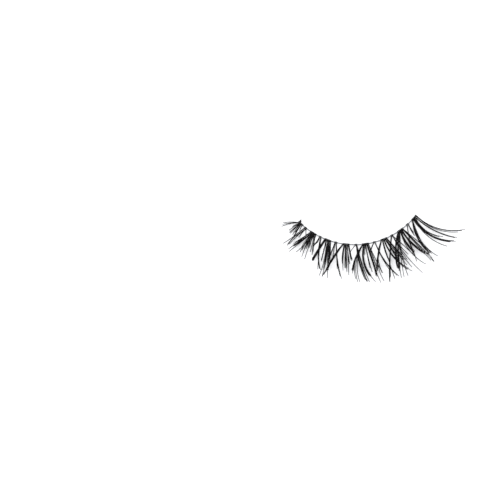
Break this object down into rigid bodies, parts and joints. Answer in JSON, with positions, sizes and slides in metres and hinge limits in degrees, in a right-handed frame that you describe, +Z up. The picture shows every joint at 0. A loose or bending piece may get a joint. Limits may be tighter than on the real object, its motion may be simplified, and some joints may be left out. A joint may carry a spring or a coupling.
{
  "type": "false eyelash strip",
  "caption": "Wispy strip of false eyelashes: a clear thread band bent to an eyelid's curve, with knotted tufts of curled black fibre, longest at the outer corner.",
  "frame": {"origin": "middle of the strip's box, on the surface that it lies on", "axes": "+X towards the outer corner of the eye, -Y towards the lash tips, +Z up, away from the surface"},
  "size_m": [0.044, 0.0164, 0.0076],
  "materials": {
    "thread": "clear nylon monofilament",
    "fibre": "satin black synthetic fibre",
    "knot": "black fibre wound in knots, sealed with a thin coat of glue"
  },
  "bodies": {
    "root": {"thread_band": "thread", "large_tuft_1": "fibre", "large_tuft_2": "fibre", "large_tuft_3": "fibre", "large_tuft_4": "fibre", "large_tuft_5": "fibre", "large_tuft_6": "fibre", "large_tuft_7": "fibre", "large_tuft_8": "fibre", "small_tuft_1": "fibre", "small_tuft_2": "fibre", "small_tuft_3": "fibre", "small_tuft_4": "fibre", "small_tuft_5": "fibre", "small_tuft_6": "fibre", "small_tuft_7": "fibre"}
  },
  "joints": []
}
